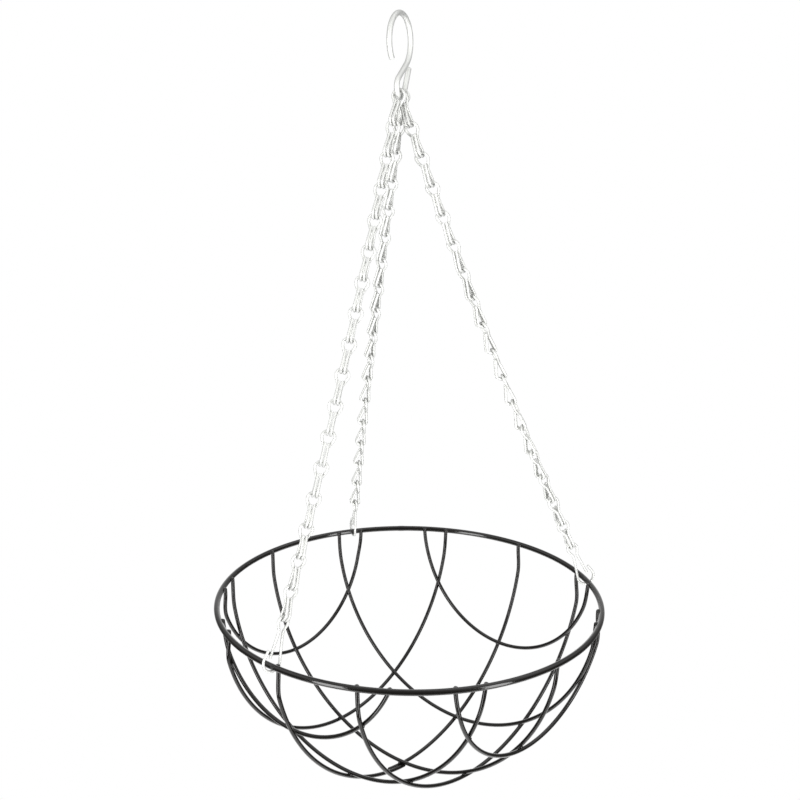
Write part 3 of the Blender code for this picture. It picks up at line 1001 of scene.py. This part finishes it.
class BASKET_OT_great_arcs(Operator):
    """Add the great arc and the two lapped halves that cross it"""

    bl_idname = "basket.great_arcs"
    bl_label = "Great Arcs"

    def execute(self, context):
        for name in ("great_arc", "lapped_arc_left", "lapped_arc_right"):
            add_bowl_wire(context, name, name)
        return {"FINISHED"}


class BASKET_OT_welds(Operator):
    """Add the coated weld beads where bowl wires meet the rim and one another"""

    bl_idname = "basket.welds"
    bl_label = "Welds"

    def execute(self, context):
        skin = Skin()
        for path in BOWL_WIRES.values():
            for end in (path[1], path[-2]):
                if abs(end[2]) > RIM_WIRE:
                    continue
                level = unit(end * LEVEL)
                along = np.cross(UP, level)
                at = level * (RIM_RADIUS - RIM_WIRE / 2) + UP * end[2]
                grid = bead_surface(at, (along, level, UP), RIM_BEAD)
                skin.add(hung_from_rim(grid))
        for at in crossings(BOWL_WIRES):
            out = unit(at - BOWL_CENTRE)
            across = unit(np.cross(out, UP + direction(BEAD_TURN) * BEAD_LEAN))
            grid = bead_surface(at, (across, np.cross(out, across), out), CROSSING_BEAD)
            skin.add(hung_from_rim(grid))
        skin.piece("weld_beads", black(context), BASKET, BLACK_SLOT)
        return {"FINISHED"}


class BASKET_OT_chains(Operator):
    """Add the three chains, a piece for each bent link"""

    bl_idname = "basket.chains"
    bl_label = "Chains"

    def execute(self, context):
        sizes = context.scene.basket_sizes
        finish = zinc(context)
        for chain in CHAINS:
            points = chain_points(chain)
            path = link_path(chain.pitch)
            grid, run = wire_surface(
                path,
                sizes.link_wire / 2,
                sizes.chain_sides,
                end_run=THIN_END_RUN,
                beside=LINK_SIDEWAYS,
            )
            rubbed = [np.zeros(3), -UP * (chain.pitch + LINK_WIRE)]
            mark = padded_mark(near(path, rubbed, RUB_REACH), grid)
            measured_at = np.linspace(0, LINKS - 1, len(chain.facings))
            for number in range(LINKS):
                up = unit(points[number] - points[number + 1])
                out = direction(np.interp(number, measured_at, chain.facings))
                out = unit(out - up * out.dot(up))
                skin = Skin()
                skin.add(placed(grid, points[number], np.cross(out, up), out, up), run, mark=mark)
                node = f"{chain.name}_chain_link_{number + 1:02d}"
                skin.piece(node + "_wire", finish, node, ZINC_SLOT, node)
        return {"FINISHED"}


class BASKET_OT_clips(Operator):
    """Add the three spring clips that hold the rim"""

    bl_idname = "basket.clips"
    bl_label = "Clips"

    def execute(self, context):
        sizes = context.scene.basket_sizes
        path = clip_path()
        grid, run = wire_surface(path, sizes.clip_wire / 2, CLIP_SIDES, end_run=THIN_END_RUN)
        mark = padded_mark(near(path, [np.zeros(3), -UP * CLIP_REACH], RUB_REACH), grid)
        for chain in CHAINS:
            eye, rim_seat = chain_points(chain)[LINKS:]
            up = unit(eye - rim_seat)
            tangent = direction(chain.at + 90 + chain.clip_turn)
            skin = Skin()
            skin.add(placed(grid, eye, np.cross(tangent, up), tangent, up), run, mark=mark)
            node = chain.name + "_clip"
            skin.piece(node + "_wire", zinc(context), BASKET, ZINC_SLOT, node)
        return {"FINISHED"}


# Stage: floor, soft lights and the camera at the photograph's angle
FLOOR_DROP = 1.70
FLOOR_RADIUS = 1.60
FLOOR_SIDES = 96
FLOOR_RINGS = 12
FLOOR_FIRST_RING = 0.05
CAMERA_PLACE = (0.0103, -0.8622, -0.0368)
CAMERA_RIGHT = (0.99981, 0.01241, -0.01507)
CAMERA_BACK = (0.01599, -0.96353, 0.26714)
CAMERA_LENS = 53.44
MIDDLE = (0.0, 0.0, -0.32)
# Lights: name, place, the point it faces, width and height, watts
LIGHTS = (
    ("left strip", (-1.29, -1.46, -0.45), MIDDLE, (0.58, 2.3), 38.0),
    ("right strip", (1.43, -1.33, -0.45), MIDDLE, (0.50, 2.3), 33.0),
    ("top", (0.3, 0.6, 1.5), MIDDLE, (1.6, 1.6), 8.0),
    ("floor wash", (0.0, 0.7, -1.15), (0.0, 0.7, -FLOOR_DROP), (2.4, 2.4), 14.0),
)
# Sky: light from all round, from overhead, from high at both sides and from behind
SKY_LOW = 0.15
SKY_TOP = 0.35
SKY_SIDES = 3.60
SKY_BACK = 1.40


def floor_finish():
    """Pale paper, very faintly uneven."""
    floor = Finish("pale floor")
    place = floor.object_place()
    tone = floor.mixed(floor.noise(place, scale=3.0), *map(colour, FLOOR_COLOURS))
    return floor.finish(base_color=tone, roughness=0.9, metallic=0.0)


class BASKET_OT_stage(Operator):
    """Add the pale floor, soft lights, sky and camera"""

    bl_idname = "basket.stage"
    bl_label = "Stage"

    def execute(self, context):
        scene = context.scene
        add_floor(scene)
        add_lights(scene)
        add_sky(scene)
        add_camera(scene)
        scene.view_settings.view_transform = "Standard"
        return {"FINISHED"}


def add_floor(scene):
    """A wide round floor: a face in the middle and rings at radius FLOOR_RADIUS * v^3."""
    turn = np.linspace(0.0, 2 * math.pi, FLOOR_SIDES, endpoint=False)
    radii = FLOOR_RADIUS * np.linspace(FLOOR_FIRST_RING, 1.0, FLOOR_RINGS) ** 3
    rings = np.stack([np.cos(turn), np.sin(turn), np.zeros_like(turn)], axis=1)
    points = radii[:, None, None] * rings - UP * FLOOR_DROP
    index = np.arange(points.shape[0] * points.shape[1]).reshape(points.shape[:2])
    inner, outer = index[:-1], index[1:]
    next_inner, next_outer = np.roll(inner, -1, axis=1), np.roll(outer, -1, axis=1)
    quads = np.stack([inner, outer, next_outer, next_inner], axis=-1).reshape(-1, 4)
    mesh = bpy.data.meshes.new("floor")
    mesh.from_pydata(points.reshape(-1, 3).tolist(), [], quads.tolist() + [index[0].tolist()])
    mesh.materials.append(floor_finish())
    floor = bpy.data.objects.new("floor", mesh)
    scene.collection.objects.link(floor)


def add_lights(scene):
    """Soft rectangles of light, each turned to the point it faces."""
    for name, place, target, size, power in LIGHTS:
        lamp = bpy.data.lights.new(name, "AREA")
        lamp.shape = "RECTANGLE"
        lamp.size, lamp.size_y = size
        lamp.energy = power
        holder = bpy.data.objects.new(name, lamp)
        holder.location = place
        aim = Vector(target) - Vector(place)
        holder.rotation_euler = aim.to_track_quat("-Z", "Y").to_euler()
        scene.collection.objects.link(holder)


def add_camera(scene):
    """The camera fitted to the photograph, its axes made square to one another."""
    camera = bpy.data.cameras.new("camera")
    camera.lens = CAMERA_LENS
    camera.sensor_width = 36.0
    camera.clip_end = 60.0
    holder = bpy.data.objects.new("camera", camera)
    back = Vector(CAMERA_BACK).normalized()
    right = Vector(CAMERA_RIGHT)
    right = (right - back * right.dot(back)).normalized()
    columns = Matrix((right, back.cross(right), back)).transposed().to_4x4()
    holder.matrix_world = Matrix.Translation(Vector(CAMERA_PLACE)) @ columns
    scene.collection.objects.link(holder)
    scene.camera = holder


def add_sky(scene):
    """A white surround, brighter high up at the sides and straight behind the basket.

    light = SKY_LOW + height^2 * (SKY_TOP + SKY_SIDES * across^2) + SKY_BACK * behind^8, and 1
    where the camera looks straight at it
    """
    world = bpy.data.worlds.new("surround")
    world.use_nodes = True
    scene.world = world
    tree = world.node_tree
    tree.nodes.clear()
    place = tree.nodes.new("ShaderNodeTexCoord")
    split = tree.nodes.new("ShaderNodeSeparateXYZ")
    tree.links.new(place.outputs["Generated"], split.inputs[0])
    height = Value(tree, split.outputs["Z"])
    across = Value(tree, split.outputs["X"])
    behind = Value(tree, split.outputs["Y"])
    light_path = tree.nodes.new("ShaderNodeLightPath")
    seen = Value(tree, light_path.outputs["Is Camera Ray"])
    above = height.held() ** 2.0 * (SKY_TOP + SKY_SIDES * across * across)
    lit = SKY_LOW + above + SKY_BACK * behind.held() ** 8.0
    strength = lit * (1.0 - seen) + 1.0 * seen
    sky = tree.nodes.new("ShaderNodeBackground")
    sky.inputs["Color"].default_value = (1.0, 1.0, 1.0, 1.0)
    tree.links.new(strength.socket, sky.inputs["Strength"])
    out = tree.nodes.new("ShaderNodeOutputWorld")
    tree.links.new(sky.outputs[0], out.inputs[0])


OPERATORS = (
    BASKET_OT_stage,
    BASKET_OT_hook,
    BASKET_OT_rim,
    BASKET_OT_small_loops,
    BASKET_OT_middle_loops,
    BASKET_OT_great_arcs,
    BASKET_OT_welds,
    BASKET_OT_chains,
    BASKET_OT_clips,
)


class BASKET_PT_panel(Panel):
    """Sizes, finishes and pieces of the hanging basket"""

    bl_idname = "BASKET_PT_panel"
    bl_label = "Hanging Basket"
    bl_space_type = "VIEW_3D"
    bl_region_type = "UI"
    bl_category = "Basket"

    def draw(self, context):
        column = self.layout.column()
        for group in (context.scene.basket_sizes, context.scene.basket_looks):
            for name in group.__annotations__:
                column.prop(group, name)
        for operator in OPERATORS:
            column.operator(operator.bl_idname)


CLASSES = (BasketSizes, BasketLooks, *OPERATORS, BASKET_PT_panel)


def register():
    for made in CLASSES:
        bpy.utils.register_class(made)
    bpy.types.Scene.basket_sizes = PointerProperty(type=BasketSizes)
    bpy.types.Scene.basket_looks = PointerProperty(type=BasketLooks)


def unregister():
    del bpy.types.Scene.basket_looks
    del bpy.types.Scene.basket_sizes
    for made in reversed(CLASSES):
        bpy.utils.unregister_class(made)


def main():
    register()
    for operator in OPERATORS:
        group, name = operator.bl_idname.split(".")
        getattr(getattr(bpy.ops, group), name)()


if __name__ == "__main__":
    main()
